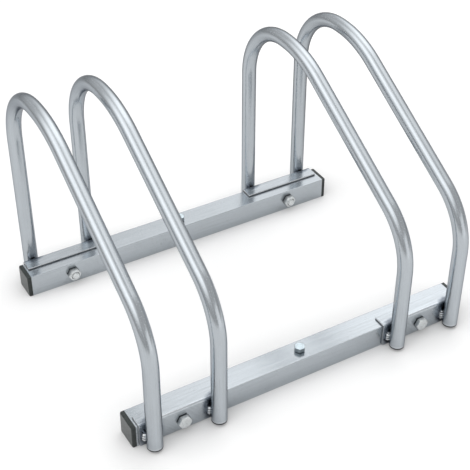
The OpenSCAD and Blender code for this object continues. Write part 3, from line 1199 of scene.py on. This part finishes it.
def cap_mesh(settings):
    """The front left cap: a chamfered head outside the tube and a ribbed hollow plug inside it."""
    sizes, bar = settings.cap, settings.bar
    low, high = CAP_BOX
    half = (high.z - low.z) / 2
    bm = bmesh.new()
    size = half - sizes.chamfer
    rim = rounded_square(bm, size, bar.corner, low.x)
    before = low.x
    for x, wanted in cap_stations(sizes, half, half - bar.wall - sizes.rib_clear):
        matrix = (
            Matrix.Translation((x, 0, 0))
            @ Matrix.Diagonal((1, wanted / size, wanted / size, 1))
            @ Matrix.Translation((-before, 0, 0))
        )
        rim, _ = carry_on(bm, rim, matrix)
        before, size = x, wanted
    close_holes(bm)
    break_edges(bm, 0.22 * MM, least=40.0)
    centre = middle("front_left_cap")
    carry(bm, Matrix.Translation((0, centre.y, centre.z)))
    return bm


def add_caps(settings):
    """The four end caps."""
    material = moulded_plastic(settings.finish)
    add_at_corners(settings, cap_mesh, "_cap", "_moulding", "cap_plastic", material)


# Stage


WHITE = (1.0, 1.0, 1.0, 1.0)

# How much of the white background the steel shows, over the room that it reflects.
MIRRORED_WHITE = 0.20

# The floor's greys as the object sees it, painted shade on its right, behind it and far away.
RIGHT_GREY = 0.57
BEHIND_GREY = 0.15
FAR_GREY = 0.39

# The room's light from the horizon up, as heights and levels, and how much more comes from the back.
ROOM = [
    (0.0, 0.275), (0.09, 0.31), (0.26, 0.40), (0.42, 0.45), (0.70, 0.45), (0.82, 0.46), (0.91, 0.47),
    (0.966, 0.525), (1.0, 0.61),
]
BACK_LIGHT = 0.125

# Each softbox: its azimuth and elevation in degrees, how it fades across and upward, and its level.
SOFTBOXES = (
    (32, 56, (0.05, 0.79), (0.20, 0.80), 1.40),
    (184, 52, (0.20, 1.28), (0.08, 0.76), 1.31),
    (54, 22, (0.00, 0.90), (0.00, 0.34), 0.30),
)


def sight(recipe):
    """One for rays that see the white background: all of the camera's, and a share of a reflection's."""
    camera, through, mirrored = [
        recipe.node("ShaderNodeLightPath", output=name)
        for name in ("Is Camera Ray", "Is Transmission Ray", "Is Glossy Ray")
    ]
    return recipe.maths("MINIMUM", camera + through + mirrored * MIRRORED_WHITE, 1.0)


def floor_seen_by_object(recipe, rgb):
    """The floor's colour for the object, darker as painted shade on its right, behind it and far away."""
    x, y, _ = recipe.parts(recipe.place())
    right = recipe.fade(x * 0.80 + y * 0.60, 0.08, 0.50)
    behind = recipe.fade(x * 0.64 + y * 0.77, 0.18, 0.48)
    behind = behind * recipe.fade(abs(y * 0.64 - x * 0.77), 0.20, 0.45, 1.0, 0.0)
    far = recipe.fade((x * x + y * y) ** 0.5, 1.3, 2.8)
    base = recipe.blend(right, paint(rgb), grey(RIGHT_GREY))
    base = recipe.blend(behind, base, grey(BEHIND_GREY))
    return recipe.blend(far, base, grey(FAR_GREY))


def openness(recipe, distance, normal=None):
    """How open the floor is to the sky within a distance, straight up or along a normal."""
    inputs = {"Distance": distance}
    if normal:
        inputs["Normal"] = recipe.node("ShaderNodeCombineXYZ", inputs=dict(enumerate(normal)))
    return recipe.node("ShaderNodeAmbientOcclusion", {"samples": 12}, inputs, output="AO")


def floor_material(stage):
    """A plain pale floor. The camera sees it white outside the object's shadow."""
    recipe = new_finish("floor")
    seen = sight(recipe)
    open_sky = openness(recipe, 46 * MM)
    open_front = 0.69 + openness(recipe, 54 * MM, (-0.34, -0.60, 0.72)) * 0.31
    shown = recipe.shade(WHITE, (0.62 + open_sky * 0.16) * open_front)
    plain = floor_seen_by_object(recipe, stage.floor_colour)
    diffuse = recipe.node("ShaderNodeBsdfDiffuse", inputs={"Color": recipe.blend(seen, plain, shown)})
    strength = seen * (0.20 + open_sky * 0.14) * open_front
    glow = recipe.node("ShaderNodeEmission", inputs={"Color": WHITE, "Strength": strength})
    return recipe.finish(recipe.node("ShaderNodeAddShader", inputs={0: diffuse, 1: glow}))


def towards(azimuth, elevation):
    """A direction from its angles in degrees."""
    turn, rise = math.radians(azimuth), math.radians(elevation)
    return (math.cos(rise) * math.cos(turn), math.cos(rise) * math.sin(turn), math.sin(rise))


def softbox(recipe, direction, azimuth, elevation, width, height, level):
    """A flat panel of light in the world, with soft sides.

    The width and height each give where the panel starts to fade and where it ends, from its middle,
    as shares of its distance.
    """
    ahead = recipe.along(direction, towards(azimuth, elevation))
    clear = recipe.maths("MAXIMUM", ahead, 0.02)
    aside = recipe.along(direction, towards(azimuth + 90, 0)) / clear
    above = recipe.along(direction, towards(azimuth, elevation + 90)) / clear
    across = recipe.fade(abs(aside), width[0], width[1], 1.0, 0.0)
    upward = recipe.fade(abs(above), height[0], height[1], 1.0, 0.0)
    return across * upward * level


def studio_world(scene):
    """A pale room: darker at the horizon, bright overhead, with two large softboxes and a faint one."""
    world = bpy.data.worlds.new("studio")
    scene.world = world
    recipe = Recipe(world)
    direction = recipe.node("ShaderNodeTexCoord", output="Generated")
    _, back, up = recipe.parts(direction)
    room = recipe.parts(recipe.node("ShaderNodeValToRGB", {"stops": ROOM}, {"Fac": up}))[0]
    light = room + back * up * BACK_LIGHT
    for box in SOFTBOXES:
        light = light + softbox(recipe, direction, *box)
    seen = sight(recipe)
    strength = light * (1 - seen) + seen
    shader = recipe.node("ShaderNodeBackground", inputs={"Color": WHITE, "Strength": strength})
    recipe.node("ShaderNodeOutputWorld", inputs={"Surface": shader})


def low_strip():
    """A low soft lamp on the camera's side, which lifts the front of the tubes."""
    lamp = bpy.data.lights.new("low strip", "AREA")
    lamp.shape = "RECTANGLE"
    lamp.size = 1.1
    lamp.size_y = 0.80
    lamp.energy = 1.52
    away = 1.6
    direction = Vector(towards(-71, 11))
    holder = in_scene("low strip", lamp)
    holder.location = direction * away
    holder.rotation_euler = direction.to_track_quat("Z", "Y").to_euler()
    holder.visible_camera = False


def add_camera(stage):
    """The camera, at the photograph's angle."""
    data = bpy.data.cameras.new("camera")
    data.lens = stage.lens
    data.sensor_width = 36.0
    data.clip_end = 50.0
    camera = in_scene("camera", data)
    camera.matrix_world = (
        Matrix.Translation(stage.camera_place)
        @ Matrix.Rotation(stage.camera_turn, 4, "Z")
        @ Matrix.Rotation(math.radians(90) - stage.camera_tilt, 4, "X")
        @ Matrix.Rotation(stage.camera_roll, 4, "Z")
    )
    bpy.context.scene.camera = camera


def add_stage(settings):
    """Floor, light, camera and the plain view transform."""
    stage = settings.stage
    scene = bpy.context.scene
    scene.view_settings.view_transform = "Standard"
    bm = bmesh.new()
    lowered = Matrix.Translation((0, 0, -0.05 * MM))
    bmesh.ops.create_grid(bm, x_segments=1, y_segments=1, size=stage.floor_size / 2, matrix=lowered)
    mesh = as_mesh(bm, "floor")
    mesh.materials.append(floor_material(stage))
    in_scene("floor", mesh)
    studio_world(scene)
    low_strip()
    add_camera(stage)


# Operators


class BIKESTAND_OT_crossbars(bpy.types.Operator):
    """Add both square crossbars"""

    bl_idname = "bike_stand.crossbars"
    bl_label = "Crossbars"

    def execute(self, context):
        add_crossbars(context.scene.bike_stand)
        return {"FINISHED"}


class BIKESTAND_OT_hoops(bpy.types.Operator):
    """Add the four bent hoops"""

    bl_idname = "bike_stand.hoops"
    bl_label = "Hoops"

    def execute(self, context):
        add_hoops(context.scene.bike_stand)
        return {"FINISHED"}


class BIKESTAND_OT_brackets(bpy.types.Operator):
    """Add the four angle brackets"""

    bl_idname = "bike_stand.brackets"
    bl_label = "Brackets"

    def execute(self, context):
        add_brackets(context.scene.bike_stand)
        return {"FINISHED"}


class BIKESTAND_OT_welds(bpy.types.Operator):
    """Add the weld beads beside the hoops' legs"""

    bl_idname = "bike_stand.welds"
    bl_label = "Welds"

    def execute(self, context):
        add_welds(context.scene.bike_stand)
        return {"FINISHED"}


class BIKESTAND_OT_bolts(bpy.types.Operator):
    """Add the four clamp bolts"""

    bl_idname = "bike_stand.bolts"
    bl_label = "Clamp bolts"

    def execute(self, context):
        add_bolts(context.scene.bike_stand)
        return {"FINISHED"}


class BIKESTAND_OT_nuts(bpy.types.Operator):
    """Add the four nuts"""

    bl_idname = "bike_stand.nuts"
    bl_label = "Nuts"

    def execute(self, context):
        add_nuts(context.scene.bike_stand)
        return {"FINISHED"}


class BIKESTAND_OT_floor_screws(bpy.types.Operator):
    """Add the floor screw of each crossbar"""

    bl_idname = "bike_stand.floor_screws"
    bl_label = "Floor screws"

    def execute(self, context):
        add_floor_screws(context.scene.bike_stand)
        return {"FINISHED"}


class BIKESTAND_OT_caps(bpy.types.Operator):
    """Add the four end caps"""

    bl_idname = "bike_stand.caps"
    bl_label = "End caps"

    def execute(self, context):
        add_caps(context.scene.bike_stand)
        return {"FINISHED"}


class BIKESTAND_OT_stage(bpy.types.Operator):
    """Add the floor, the light and the camera"""

    bl_idname = "bike_stand.stage"
    bl_label = "Stage"

    def execute(self, context):
        add_stage(context.scene.bike_stand)
        return {"FINISHED"}


OPERATORS = (
    BIKESTAND_OT_crossbars,
    BIKESTAND_OT_hoops,
    BIKESTAND_OT_brackets,
    BIKESTAND_OT_welds,
    BIKESTAND_OT_bolts,
    BIKESTAND_OT_nuts,
    BIKESTAND_OT_floor_screws,
    BIKESTAND_OT_caps,
    BIKESTAND_OT_stage,
)


class BIKESTAND_PT_pieces(bpy.types.Panel):
    """The stand's pieces, in the order in which they are made"""

    bl_idname = "BIKESTAND_PT_pieces"
    bl_label = "Floor bike stand"
    bl_space_type = "VIEW_3D"
    bl_region_type = "UI"
    bl_category = "Bike stand"

    def draw(self, context):
        for operator in OPERATORS:
            self.layout.operator(operator.bl_idname, text=operator.bl_label)


CLASSES = (
    BarSizes,
    HoopSizes,
    BracketSizes,
    WeldSizes,
    FastenerSizes,
    CapSizes,
    Finishes,
    StageSettings,
    BikeStandSettings,
    *OPERATORS,
    BIKESTAND_PT_pieces,
)


def register():
    for item in CLASSES:
        bpy.utils.register_class(item)
    bpy.types.Scene.bike_stand = PointerProperty(type=BikeStandSettings)


def unregister():
    del bpy.types.Scene.bike_stand
    for item in reversed(CLASSES):
        bpy.utils.unregister_class(item)


def main():
    register()
    bpy.ops.bike_stand.crossbars()
    bpy.ops.bike_stand.hoops()
    bpy.ops.bike_stand.brackets()
    bpy.ops.bike_stand.welds()
    bpy.ops.bike_stand.bolts()
    bpy.ops.bike_stand.nuts()
    bpy.ops.bike_stand.floor_screws()
    bpy.ops.bike_stand.caps()
    bpy.ops.bike_stand.stage()
    bpy.context.view_layer.update()


if __name__ == "__main__":
    main()
